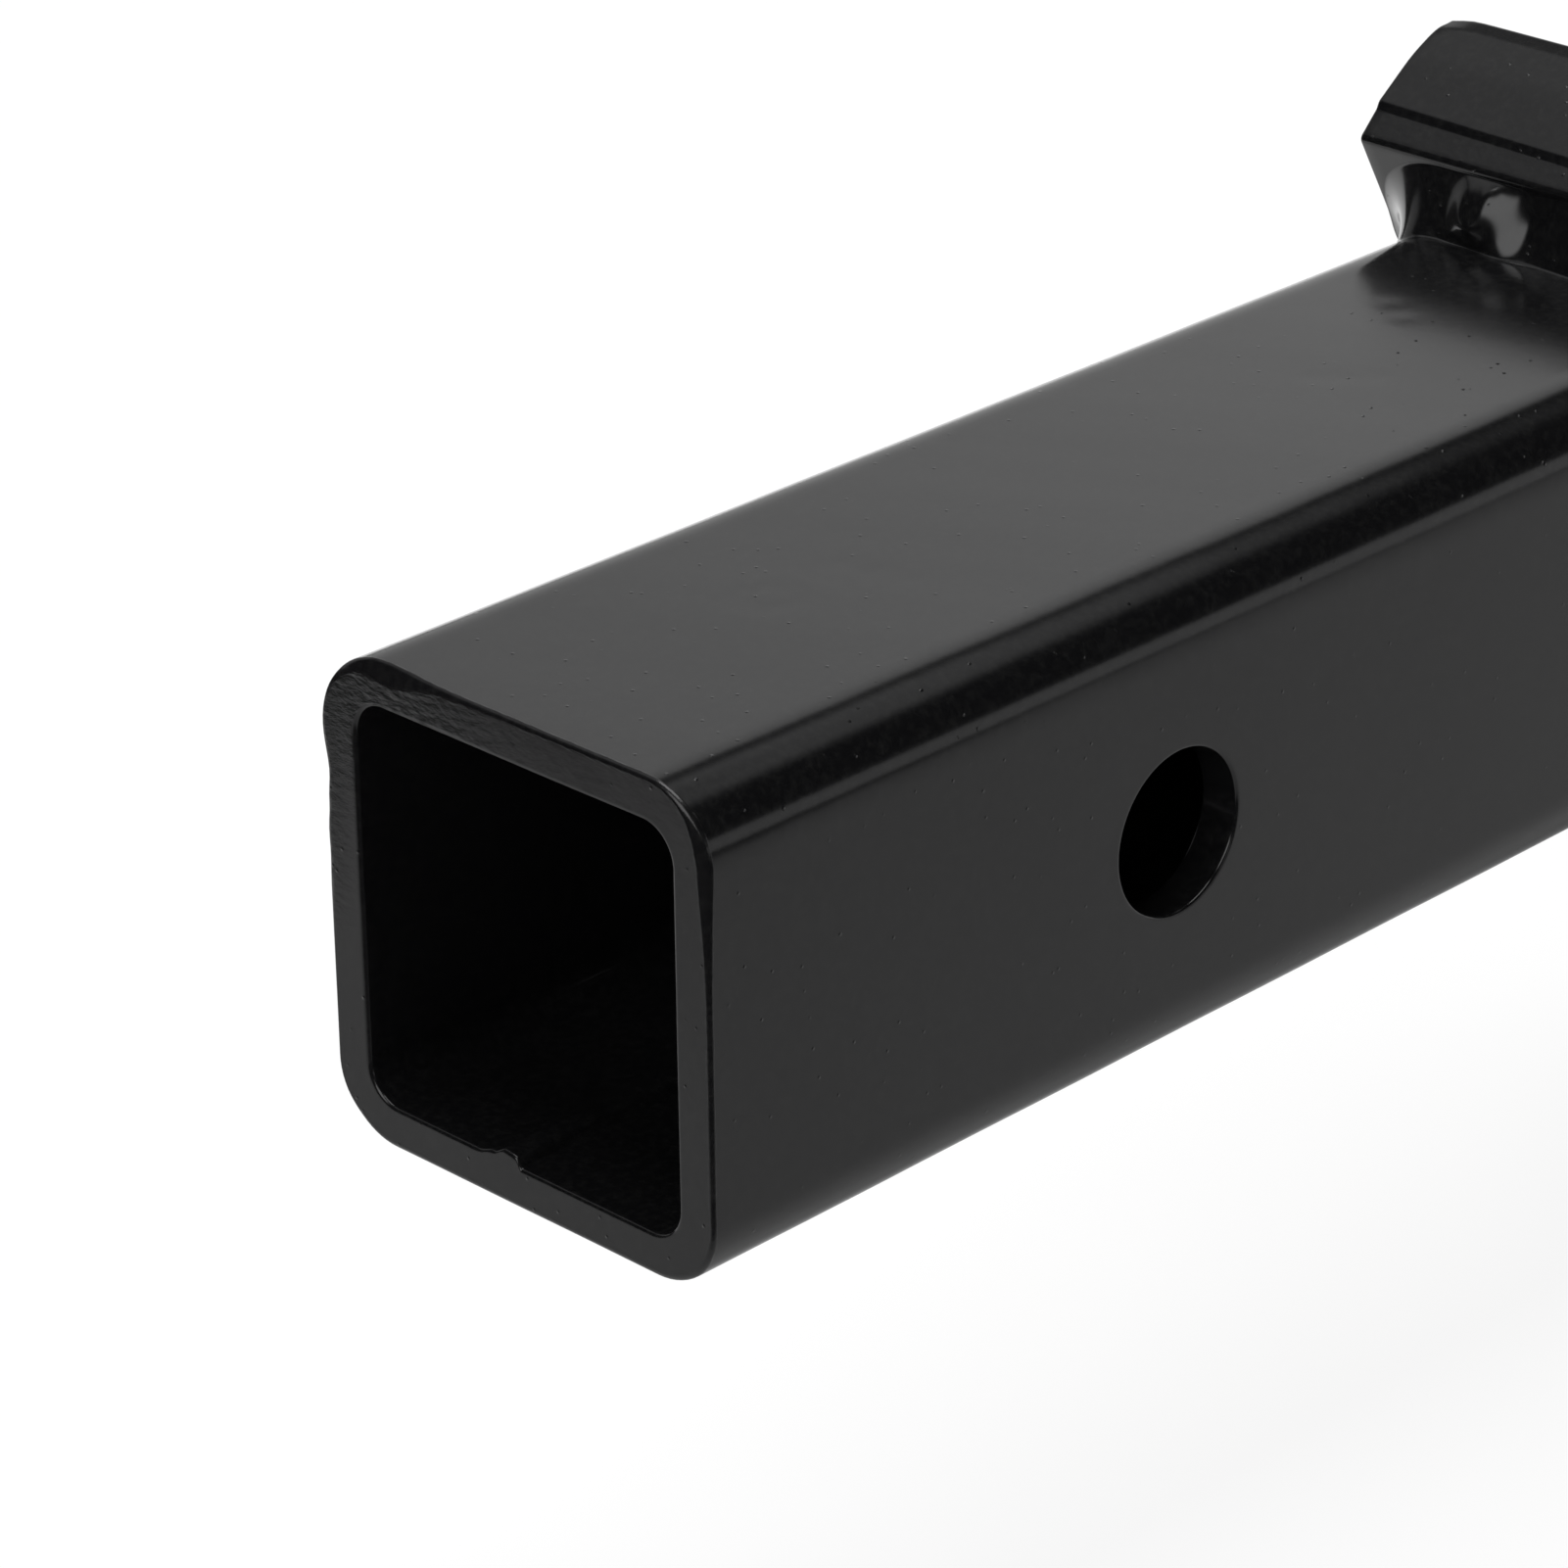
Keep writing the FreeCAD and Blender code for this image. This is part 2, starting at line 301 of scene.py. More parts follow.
def hole_patch(near_border, far_border, centre, axis, radius, rim):
    """The skin round and inside a hole. From the border of a window it runs in straight lines
    to the hole's rim, turns in over a quarter circle, goes straight through, and comes out
    the same way on the far side."""
    def about(border):
        arm = border - centre
        level = arm @ axis
        arm = arm - level[:, None] * axis
        return arm / np.linalg.norm(arm, axis=1)[:, None], level.mean()

    near_arm, near_level = about(near_border)
    far_arm, far_level = about(far_border)
    inwards = np.sign(far_level - near_level)
    spread = 1 - (1 - np.linspace(0, 1, 9)[:-1]) ** 1.6
    turn = np.linspace(0, math.pi / 2, 6)

    def rim_rows(arm, level, direction):
        rows = []
        for angle in turn:
            reach = radius + rim * (1 - math.sin(angle))
            depth = level + direction * rim * (1 - math.cos(angle))
            rows.append(centre + arm * reach + axis * depth)
        return rows

    near_rim = rim_rows(near_arm, near_level, inwards)
    far_rim = rim_rows(far_arm, far_level, -inwards)
    rows = [near_border + (near_rim[0] - near_border) * share for share in spread]
    rows += near_rim
    for share in (0.03, 0.1, 0.3, 0.5, 0.7, 0.9, 0.97):
        rows.append(near_rim[-1] + (far_rim[-1] - near_rim[-1]) * share)
    rows += far_rim[::-1]
    rows += [far_border + (far_rim[0] - far_border) * share for share in spread[::-1]]
    return Patch(np.stack(rows), closed=True)


# Shank


def seat_x(z):
    """Where the sloping seat plane lies at height z."""
    sizes = bpy.context.scene.ball_mount_tongue
    return sizes.seat + (HALF_HEIGHT - z) / math.tan(sizes.slope)


def stations(stops, steps):
    """Distances from stop to stop, each stretch cut into its own number of equal steps."""
    rows = [np.array([stops[0]])]
    for first, last, count in zip(stops[:-1], stops[1:], steps):
        rows.append(np.linspace(first, last, count + 1)[1:])
    return np.concatenate(rows)


def wall_places():
    """How the points are spread over the four walls, from -1 to 1. The lower wall has most
    of its points about the seam flash."""
    side = np.linspace(-1, 1, 41)
    top = np.linspace(-1, 1, 37)
    bottom = stations([-1.0, -0.09, 0.43, 1.0], [16, 36, 10])
    return side, top, side, bottom


SIDE_WINDOW = (6, 34)
HOLE_WINDOW = 12.25 * MM
HOLE_RIM = 0.4 * MM


def flash_profile(y, height):
    """The seam flash over the lower wall: a gentle rise from the left, a round crest and a
    steep fall on the right."""
    knots = np.array([0.15, 0.75, 1.5, 2.3, 3.9, 6.1]) * MM
    return smooth_through(y, knots, np.array([0, 0.8, 0.92, 1, 0.45, 0]) * height)


def lip_shape(loop, lip_radius):
    """How the open end's outer edge varies round the loop: the rounding's radius, the width
    of the ground bevel at the upper left corner and high on the right edge, the radius of
    the inner edge, and how far the saw left the face back from the end."""
    y, z = loop[:, 0], loop[:, 1]

    def near(wall, place):
        """1 at a wall, falling to 0 at 3 mm from it towards the middle."""
        return ease(wall - math.copysign(3 * MM, wall), wall, place)

    on_right = near(-HALF_WIDTH, y)
    less = 0.3 * near(HALF_HEIGHT, z) + 0.45 * near(HALF_WIDTH, y) + 0.3 * on_right
    radius = lip_radius - less * MM
    from_corner = np.hypot(y - 16.3 * MM, z - 25.0 * MM)
    bevel = 1.5 * MM * bump(from_corner, 3.6 * MM)
    bevel += 0.95 * MM * bump(z - 19 * MM, 5.5 * MM) * on_right
    inner = 0.5 * MM - 0.1 * MM * near(-HALF_HEIGHT, z)
    back = 0.1 * MM * bump(from_corner, 9 * MM)
    return radius, bevel, inner, back


def burr(loop):
    """The ragged upper part of the left edge: how far the edge stands out or back."""
    z = loop[:, 1]
    left = ease(HALF_WIDTH - 2.5 * MM, HALF_WIDTH - 0.2 * MM, loop[:, 0])
    wave = 0.22 * bump(z - 16.6 * MM, 1.5 * MM) - 0.42 * bump(z - 11.9 * MM, 1.7 * MM)
    wave += -0.18 * bump(z - 8.2 * MM, 1.0 * MM) - 0.10 * bump(z - 3.5 * MM, 1.4 * MM)
    return wave * MM * left


def sawn(points):
    """How deep the saw's marks are: a fifth on most of the open end, and far more at its
    upper left and along the left edge."""
    y, z = points[:, :, 1], points[:, :, 2]
    upper_left = 2.2 * bump(np.hypot(y - 15 * MM, z - 22.5 * MM), 7 * MM)
    left_edge = 1.2 * bump(y - 24.6 * MM, 1.4 * MM) * ease(-8 * MM, 2 * MM, z)
    return 0.2 + np.maximum(upper_left, left_edge)


def shank_patches(sizes):
    """The shank's skin. Outside and inside, a rounded rectangle runs along X and ends on the
    sloping seat plane. The open end joins them: a quarter circle with an optional bevel in
    it, the sawn face, and a small quarter circle inside."""
    places = wall_places()
    outer, outward = box_loop(HALF_WIDTH, HALF_HEIGHT, sizes.outer_radius, places)
    hollow = (HALF_WIDTH - sizes.wall, HALF_HEIGHT - sizes.wall, sizes.inner_radius)
    inner, inner_outward = box_loop(*hollow, places)
    radius, bevel, inner_radius, back = lip_shape(outer, sizes.lip_radius)
    edge_wave = burr(outer)
    lower_wall = inner[:, 1] < -hollow[1] + 0.01 * MM
    ridge = np.where(lower_wall, flash_profile(inner[:, 0], sizes.flash_height), 0.0)

    def ring(x, loop, directions, shift):
        moved = loop + directions * np.broadcast_to(shift, len(loop))[:, None]
        return np.column_stack([np.broadcast_to(x, len(loop)), moved])

    face_x = OPEN_END + back
    tilt = math.radians(24)
    lip = []
    for before, angles in ((1, np.linspace(math.pi / 2, tilt, 8)), (0, np.linspace(tilt, 0, 4))):
        for angle in angles:
            depth = radius * (1 - math.cos(angle)) + before * bevel * math.sin(tilt)
            inset = radius * (1 - math.sin(angle)) + (1 - before) * bevel * math.cos(tilt)
            lip.append(ring(face_x + depth, outer, outward, edge_wave - inset))
    inner_lip = []
    for angle in np.linspace(0, math.pi / 2, 6):
        x = face_x + inner_radius * (1 - math.cos(angle))
        inner_lip.append(ring(x, inner, inner_outward, inner_radius * (1 - math.sin(angle))))
    inner_lip = np.stack(inner_lip)
    inner_lip[:, :, 2] += ridge
    shares = np.array([0, 0.04, 0.12, 0.25, 0.4, 0.6, 0.75, 0.88, 0.96, 1])[:, None, None]
    face = lip[-1] + (inner_lip[0] - lip[-1]) * shares

    stops = [OPEN_END + 1.2 * MM, OPEN_END + 9 * MM, -HOLE_WINDOW, HOLE_WINDOW, 40 * MM]

    def skin_rows(start, loop, steps, wave):
        """Rows from the lip to the seat. In front they stand straight, and behind the last
        stop they lean until the final row lies on the seat plane. The lip's wave dies out
        along them."""
        rows = [start]
        for x in stations(stops, steps[:-1])[1:]:
            share = float(ease(stops[0], stops[0] + 8 * MM, x))
            rows.append(start + (x - start) * share if share < 1 else np.full(len(loop), x))
        for share in np.linspace(0, 1, steps[-1] + 1)[1:]:
            rows.append(stops[-1] + (seat_x(loop[:, 1]) - stops[-1]) * share)
        x = np.stack(rows)
        skin = np.empty((*x.shape, 3))
        skin[:, :, 0] = x
        skin[:, :, 1:] = loop + wave * np.exp(-(x - start) / (1.6 * MM))[:, :, None]
        return skin

    outer_steps = [10, 30, 24, 20, 44]
    inner_steps = [5, 10, 24, 6, 14]
    outer_skin = skin_rows(lip[0][:, 0], outer, outer_steps, outward * edge_wave[:, None])
    inner_skin = skin_rows(inner_lip[-1][:, 0], inner, inner_steps, 0.0)
    inner_skin[:, :, 2] += ridge

    right_start = len(places[0]) + len(places[1]) + 2 * (ARC_STEPS - 1)
    windows = []
    for start in (0, right_start):
        columns = (start + SIDE_WINDOW[0], start + SIDE_WINDOW[1])
        windows.append([
            (sum(steps[:2]), sum(steps[:3]), *columns) for steps in (outer_steps, inner_steps)
        ])
    patches = [
        Patch(outer_skin, closed=True, windows=[outside for outside, _ in windows]),
        Patch(inner_skin, closed=True, windows=[inside for _, inside in windows]),
        Patch(np.stack(lip), closed=True, cut=0.6),
        Patch(face, closed=True, cut=sawn(face)),
        Patch(inner_lip, closed=True, cut=0.3),
        Patch(np.stack([outer_skin[-1], inner_skin[-1]]), closed=True),
    ]
    for outside, inside in windows:
        patches.append(hole_patch(
            window_border(outer_skin, outside), window_border(inner_skin, inside),
            np.zeros(3), np.array([0.0, 1.0, 0.0]), sizes.pin_hole / 2, HOLE_RIM,
        ))
    return patches


# Dents on the top by X and Y, and on the right by X and Z, each with its width and depth, in mm
TOP_DENTS = (
    (71.1, 8.3, 1.0, 0.05), (68.5, 4.8, 0.9, 0.05), (49.5, 0.8, 0.8, 0.03),
    (51.5, -1.5, 0.9, 0.03), (54.2, -4.2, 0.8, 0.03), (-17.1, 2.4, 0.8, 0.02),
    (-16.2, -1.2, 0.8, 0.025), (-15.3, -4.7, 0.7, 0.02),
)
RIGHT_DENTS = ((20.6, 9.2, 0.8, 0.04), (-10.1, -1.5, 0.5, 0.04))


def shank_dents(points):
    """Small marks in the skin under the paint: each is a shallow bell, and one on the top is
    a ring."""
    height = rolled_waves(points)
    x, y, z = points.T
    on_top = z > HALF_HEIGHT - 0.5 * MM
    on_right = y < -HALF_WIDTH + 0.5 * MM
    for dents, across, wall in ((TOP_DENTS, y, on_top), (RIGHT_DENTS, z, on_right)):
        for along, place, width, depth in dents:
            distance = np.hypot(x - along * MM, across - place * MM)
            height -= depth * MM * bump(distance, width * MM) * wall
    ring = np.hypot(x + 27.5 * MM, y - 1.8 * MM)
    return height - 0.02 * MM * bump(ring - 2.6 * MM, 0.7 * MM) * on_top


# Tongue


def side_points(corners):
    """A bent line in the X Z plane with a tangent arc at each (point, radius) corner between
    the first and the last, as points and as directions square to the line, to its left."""
    points = []
    normals = []
    for (before, _), (corner, radius), (after, _) in zip(corners, corners[1:], corners[2:]):
        back = (before - corner) / np.linalg.norm(before - corner)
        on = (after - corner) / np.linalg.norm(after - corner)
        half = math.acos(np.clip(back @ on, -1, 1)) / 2
        middle = (back + on) / np.linalg.norm(back + on)
        centre = corner + middle * radius / math.sin(half)
        first = corner + back * radius / math.tan(half) - centre
        last = corner + on * radius / math.tan(half) - centre
        start = math.atan2(first[1], first[0])
        sweep = math.atan2(last[1], last[0]) - start
        sweep = (sweep + math.pi) % (2 * math.pi) - math.pi
        angles = start + sweep * np.linspace(0, 1, 7)
        arc = np.stack([np.cos(angles), np.sin(angles)], -1)
        points.append(centre + radius * arc)
        normals.append(arc if sweep < 0 else -arc)
    return points, normals


def sheared_end(sizes, lower_corner, down, through, step_at):
    """The end's outline in the side view, from the lower corner over the strip, the small
    step, the crowned face that rolls over behind and the broken far edge, with outward
    directions. The step is counted from the lower corner. Straight stretches get points of
    their own."""
    def at(across, rise):
        return lower_corner + through * across - down * rise

    reach = 20 * MM
    corners = [
        (at(0, -reach), 0),
        (at(0, 0), 0.9 * MM),
        (at(step_at - 0.40 * MM, 0.28 * (step_at - 0.40 * MM)), 0.9 * MM),
        (at(step_at + 0.38 * MM, 0.28 * step_at + 0.42 * MM), 1.2 * MM),
        (at(11.0 * MM, 2.35 * MM), 20 * MM),
        (at(sizes.thickness - 2.75 * MM, 2.15 * MM), 6 * MM),
        (at(sizes.thickness - 0.75 * MM, 1.8 * MM), 0.6 * MM),
        (at(sizes.thickness, -0.6 * MM), 0.6 * MM),
        (at(sizes.thickness, -reach), 0),
    ]
    arcs, arc_normals = side_points(corners)
    points = [arcs[0]]
    normals = [arc_normals[0]]
    for k, steps in zip(range(1, len(arcs)), (6, 3, 10, 7, 4, 3)):
        shares = np.linspace(0, 1, steps + 1)[1:-1, None]
        points.append(arcs[k - 1][-1] + (arcs[k][0] - arcs[k - 1][-1]) * shares)
        normals.append(np.repeat(arc_normals[k][:1], len(shares), axis=0))
        points.append(arcs[k])
        normals.append(arc_normals[k])
    return np.concatenate(points), np.concatenate(normals)


# Where the sheared end's step lies on the left and on the right, from the lower corner
STEP_ON_LEFT = 4.1 * MM
STEP_ON_RIGHT = 3.0 * MM


def tongue_lines(sizes):
    """The bar in the side view. An upper and a lower line run side by side down the slope,
    round the bend about one centre and along the platform, with directions from the lower to
    the upper, and the sheared end's outline joins them, with outward directions."""
    slope = sizes.slope
    down = np.array([math.cos(slope), -math.sin(slope)])
    through = np.array([math.sin(slope), math.cos(slope)])
    thick = sizes.thickness
    corner = np.array([sizes.seat, HALF_HEIGHT]) - down * sizes.stand_up / math.sin(slope)
    left_end, end_normal = sheared_end(sizes, corner, down, through, STEP_ON_LEFT)
    right_end, _ = sheared_end(sizes, corner, down, through, STEP_ON_RIGHT)
    to_centre = thick + sizes.bend_radius
    drop = corner[1] + through[1] * to_centre - (PLATFORM_BOTTOM + to_centre)
    centre = corner + through * to_centre + down * drop / math.sin(slope)

    shares = stations([0, 0.03, 1], [6, 62])[:, None]
    lower = left_end[0] + (centre - through * to_centre - left_end[0]) * shares
    upper = left_end[-1] + (centre - through * sizes.bend_radius - left_end[-1]) * shares
    turn = slope - np.linspace(0, slope, 25)[1:]
    arm = np.stack([np.sin(turn), np.cos(turn)], -1)
    level = np.linspace(centre[0], NOSE_END - sizes.nose_radius, 31)[1:]
    flat = np.full(len(level), PLATFORM_BOTTOM)
    lower = [lower, centre - arm * to_centre, np.stack([level, flat], -1)]
    upper = [upper, centre - arm * sizes.bend_radius, np.stack([level, flat + thick], -1)]
    facing = [np.tile(through, (len(shares), 1)), arm, np.tile([0.0, 1.0], (len(level), 1))]
    lines = [np.concatenate(line) for line in (lower, upper, facing)]
    return *lines, left_end, right_end, end_normal


def tongue_patches(sizes):
    """The tongue's skin, spread over the bar's width. The step in the sheared end lies a
    little lower on the right than on the left. At the nose the half width follows a quarter
    circle. A quarter circle rounds every long edge."""
    lower, upper, facing, left_end, right_end, end_normal = tongue_lines(sizes)
    edge = sizes.edge_radius
    nose_turn = np.radians(np.linspace(0, 90, 17)[1:])

    def line_at(line, into, depth, inset):
        """A long line moved into the bar by depth, with the nose's stations added, as X, Z
        and half width. The inset narrows the half width and shortens the nose."""
        moved = line + into * depth
        radius = sizes.nose_radius - inset
        straight = np.column_stack([moved, np.full(len(moved), HALF_TONGUE - inset)])
        nose = np.column_stack([
            NOSE_END - sizes.nose_radius + radius * np.sin(nose_turn),
            np.full(len(nose_turn), moved[-1, 1]),
            HALF_TONGUE - sizes.nose_radius + radius * np.cos(nose_turn),
        ])
        return np.concatenate([straight, nose])

    across = np.linspace(-1, 1, 41)

    def spread(line):
        """A long line with its half width, spread over the bar's width."""
        x = np.repeat(line[:, :1], len(across), axis=1)
        z = np.repeat(line[:, 1:2], len(across), axis=1)
        return np.stack([x, line[:, 2:] * across, z], -1)

    upper_face = spread(line_at(upper, -facing, 0, edge))
    lower_face = spread(line_at(lower, facing, 0, edge))
    half_line = np.full(len(left_end), HALF_TONGUE - edge)
    to_left = ((1 + across) / 2)[None, :, None]
    end_face = spread(np.column_stack([left_end, half_line])) * to_left
    end_face += spread(np.column_stack([right_end, half_line])) * (1 - to_left)

    angles = np.linspace(0, math.pi / 2, 7)
    step = np.linalg.norm(np.diff(left_end, axis=0), axis=1)
    share = (np.concatenate([[0], np.cumsum(step)]) / step.sum())[None, :, None]

    def side_of_bar(end):
        """The rounded edges of one side, from the face to the wall, and the flat wall: it is
        spanned between the lower and the upper line, and shaped to the end's outline."""
        rims = []
        for angle in angles:
            depth = edge * (1 - math.cos(angle))
            inset = edge * (1 - math.sin(angle))
            low = line_at(lower, facing, depth, inset)
            high = line_at(upper, -facing, depth, inset)
            half = np.full(len(end), HALF_TONGUE - inset)
            rims.append((low, np.column_stack([end - end_normal * depth, half]), high))
        low, tip, high = rims[-1]
        wall = low[:, None] * (1 - share) + high[:, None] * share
        travelled = np.linalg.norm(low[:, :2] - low[0, :2], axis=1)
        fade = (1 - ease(0, 14 * MM, travelled))[:, None, None]
        wall += (tip[None] - wall[:1]) * fade
        return rims, wall

    sides = {1: side_of_bar(left_end), -1: side_of_bar(right_end)}
    rims, wall = sides[1]
    nose_rows = [rim[2][-1] for rim in rims] + list(wall[-1, ::-1][1:-1])
    nose_rows += [rim[0][-1] for rim in rims[::-1]]
    nose_face = spread(np.array(nose_rows))

    def mirrored(grid, side):
        return np.stack([grid[..., 0], grid[..., 2] * side, grid[..., 1]], -1)

    reach = 16.0 * MM
    first = np.flatnonzero(upper_face[:, 0, 0] < BALL_HOLE_X - reach)[-1]
    last = np.flatnonzero(upper_face[:, 0, 0] > BALL_HOLE_X + reach)[0]
    window = (first, last, *SIDE_WINDOW)
    middle = np.array([BALL_HOLE_X, 0.0, 0.0])
    patches = [
        Patch(upper_face, windows=[window]),
        Patch(lower_face, windows=[window]),
        Patch(end_face, cut=0.25),
        Patch(nose_face, cut=0.5),
        hole_patch(window_border(upper_face, window), window_border(lower_face, window),
                   middle, np.array([0.0, 0.0, 1.0]), sizes.ball_hole / 2, HOLE_RIM),
    ]
    for side, (rims, wall) in sides.items():
        strip = [np.concatenate([rim[0][::-1], rim[1][1:-1], rim[2]]) for rim in rims]
        patches.append(Patch(mirrored(np.stack(strip, 1), side)))
        patches.append(Patch(mirrored(wall, side)))
    for patch in patches:
        patch.points = worn_corners(patch.points)
    return patches


def worn_corners(points):
    """The two far corners of the sheared end are rounded off: the skin about each is shifted
    straight into the bar by a bell."""
    sizes = bpy.context.scene.ball_mount_tongue
    cosine, sine = math.cos(sizes.slope), math.sin(sizes.slope)
    up = sizes.stand_up / sine + 1.6 * MM
    through = sizes.thickness - 0.6 * MM
    x = sizes.seat - up * cosine + through * sine
    z = HALF_HEIGHT + up * sine + through * cosine
    for side in (1, -1):
        distance = np.linalg.norm(points - np.array([x, side * HALF_TONGUE, z]), axis=-1)
        inwards = np.array([0.35 * cosine - 0.5 * sine, -0.5 * side, -0.35 * sine - 0.5 * cosine])
        points = points + 0.9 * MM * bump(distance, 1.6 * MM)[..., None] * inwards
    return points


# Weld beads


def round_shank(run, below):
    """The line on which the shank's skin meets the tongue, by the distance run from its
    middle on top, or on the bottom, with run positive to the left. Gives its points, the
    shank's outward directions, and the directions on the tongue that lead square away."""
    radius = bpy.context.scene.ball_mount_shank.outer_radius
    slope = bpy.context.scene.ball_mount_tongue.slope
    side = np.sign(run)
    far = np.abs(run)
    flat = HALF_WIDTH - radius
    wall = 2 * (HALF_HEIGHT - radius)
    quarter = radius * math.pi / 2
    angle = np.clip((far - flat) / radius, 0, math.pi / 2)
    angle += np.clip((far - flat - quarter - wall) / radius, 0, math.pi / 2)
    core_y = np.minimum(far, flat)
    core_z = HALF_HEIGHT - radius - np.clip(far - flat - quarter, 0, wall)
    flip = -1.0 if below else 1.0
    outward = np.stack([np.zeros(len(run)), side * np.sin(angle), flip * np.cos(angle)], -1)
    z = flip * core_z + outward[:, 2] * radius
    points = np.stack([seat_x(z), side * core_y + outward[:, 1] * radius, z], -1)
    fall = -flip * np.sin(angle)
    way = np.where(side == 0, 1, side)
    along = np.stack([-fall / math.tan(slope), way * np.cos(angle), fall], -1)
    facing = np.array([-math.sin(slope), 0, -math.cos(slope)])
    away = np.cross(along, facing) * (way * flip)[:, None]
    return points, outward, away / np.linalg.norm(away, axis=1)[:, None]


def bead_patch(run, tongue_leg, shank_leg, bulge, taper, ripple, below=False, lean=0.0):
    """A bead round the shank. In each section a curve of second degree runs from the toe on
    the tongue to the toe on the shank, pushed out by the bulge, which leans to the tongue.
    Paint fills both toes with a small hollow of the same kind, and the back lies just inside
    the steel. Ripples are sine waves along the bead, bent into crescents."""
    slope = bpy.context.scene.ball_mount_tongue.slope
    corner, outward, away = round_shank(run, below)
    tongue_leg, shank_leg, bulge = tongue_leg * taper, shank_leg * taper, bulge * taper
    through = np.array([math.sin(slope), 0, math.cos(slope)])
    on_tongue = corner + away * tongue_leg[:, None]
    on_shank = corner - np.array([1.0, 0, 0]) * shank_leg[:, None]
    middle = (on_tongue + on_shank) / 2
    chord = on_shank - on_tongue
    chord /= np.maximum(np.linalg.norm(chord, axis=1), 1e-9)[:, None]
    out = middle - corner
    out -= chord * np.sum(out * chord, axis=1)[:, None]
    out /= np.maximum(np.linalg.norm(out, axis=1), 1e-9)[:, None]
    leaning = lean * np.clip(bulge / MM, 0, 1)[:, None]
    control = middle + out * bulge[:, None] * 2 - (on_shank - on_tongue) * leaning
    t = np.linspace(0.03, 0.95, 29)[:, None, None]
    face = (1 - t) ** 2 * on_tongue + 2 * t * (1 - t) * control + t**2 * on_shank
    waves = ripple(run, t[:, :, 0]) * np.sin(math.pi * t[:, :, 0]) * taper
    face = face + out * waves[:, :, None]
    shank_edge = on_shank - np.array([1.0, 0, 0]) * (0.4 * MM * taper[:, None])
    tongue_edge = on_tongue + away * (0.15 * MM * taper[:, None])

    def hollow(first, toe, last):
        """Points of the small hollow between two ends, without its first end."""
        s = np.linspace(0, 1, 7)[1:, None, None]
        return (1 - s) ** 2 * first + 2 * s * (1 - s) * toe + s**2 * last

    sink = 0.12 * MM * taper[:, None]
    back = [
        shank_edge - outward * sink,
        corner + (through - outward) * sink,
        tongue_edge + through * sink,
        tongue_edge,
    ]
    tongue_hollow = hollow(tongue_edge, on_tongue, face[0])[:-1]
    shank_hollow = hollow(face[-1], on_shank, shank_edge)
    loop = np.concatenate([tongue_hollow, face, shank_hollow, np.stack(back)])
    return Patch(np.swapaxes(loop, 0, 1), closed=True)


def crescents(pitch, height):
    """Ripple function of the place along the bead and of the share across it."""
    def ripple(along, share):
        bow = 0.45 * (1 - (2 * share - 1) ** 2)
        wander = 0.25 * np.sin(along / (6.1 * MM)) + 0.2 * np.sin(along / (2.7 * MM) + 1)
        return height * np.sin(2 * math.pi * (along / pitch + bow + wander))
    return ripple


def end_taper(run, reach):
    """1 along the bead, falling to 0 at its two ends along a quarter ellipse."""
    from_end = np.minimum(run - run[0], run[-1] - run)
    beyond = np.clip(1 - from_end / reach, 0, 1)
    return np.sqrt(np.maximum(1 - beyond**2, 0))


def profile(run, table):
    """A size along a bead, in metres, from rows of (distance, size) in millimetres: straight
    between the rows, with each corner eased over 1.4 mm."""
    places, sizes = np.array(table).T * MM
    nearby = np.linspace(-0.7, 0.7, 9) * MM
    return np.mean([np.interp(run + step, places, sizes) for step in nearby], axis=0)


# Legs and bulge of the beads where they come round the shank's upper corners
CORNER_TONGUE_LEG = ((19.5, 8.4), (21, 8.3), (22.8, 7.9), (24.5, 6.8), (26, 5.6), (29.3, 4.6))
CORNER_SHANK_LEG = ((19, 7.0), (21, 7.6), (23.5, 7.6), (25, 6.6), (27, 5.2), (29.3, 4.4))
CORNER_BULGE = ((18.2, -0.1), (21, -0.6), (23.5, -1.3), (26, -1.2), (29.3, -0.8))


def on_right(table):
    """The same rows for the right-hand corner, where the run is negative."""
    return [(-place, size) for place, size in reversed(table)]


def top_weld_patches(sizes):
    """The lumpy bead under the leaning tongue. It has one big lump left of the middle, with a
    long flat flank on its right, and is even from there on."""
    run = np.linspace(-30 * MM, 30 * MM, 241)
    tongue_leg = profile(run, (
        *on_right(CORNER_TONGUE_LEG), (-12, 8.0), (-4, 8.1), (12, 8.1), (17.5, 8.1),
        *CORNER_TONGUE_LEG,
    ))
    shank_leg = profile(run, (
        *on_right(CORNER_SHANK_LEG), (-12, 6.6), (-4, 6.8), (4, 6.5), (8.7, 7.1), (13, 6.5),
        (17.5, 6.5), *CORNER_SHANK_LEG,
    ))
    bulge = profile(run, (
        *on_right(CORNER_BULGE), (-9, 0.1), (-3, 0.2), (3, -0.2), (6.4, -0.9), (11.6, 1.4),
        (14.4, 1.2), (16.6, 0.2), *CORNER_BULGE,
    ))
    taper = end_taper(run, 4 * MM)
    fine = crescents(sizes.ripple_pitch * 1.7, sizes.ripple_height * 0.2)

    def ripple(along, share):
        """Fine ripples and one drop of spatter beside the lump."""
        distance = np.hypot((along - 12.9 * MM) / MM, (share - 0.84) * 8)
        return fine(along, share) + 1.0 * MM * bump(distance, 0.9)

    return [bead_patch(run, tongue_leg, shank_leg, bulge, taper, ripple, lean=0.1)]


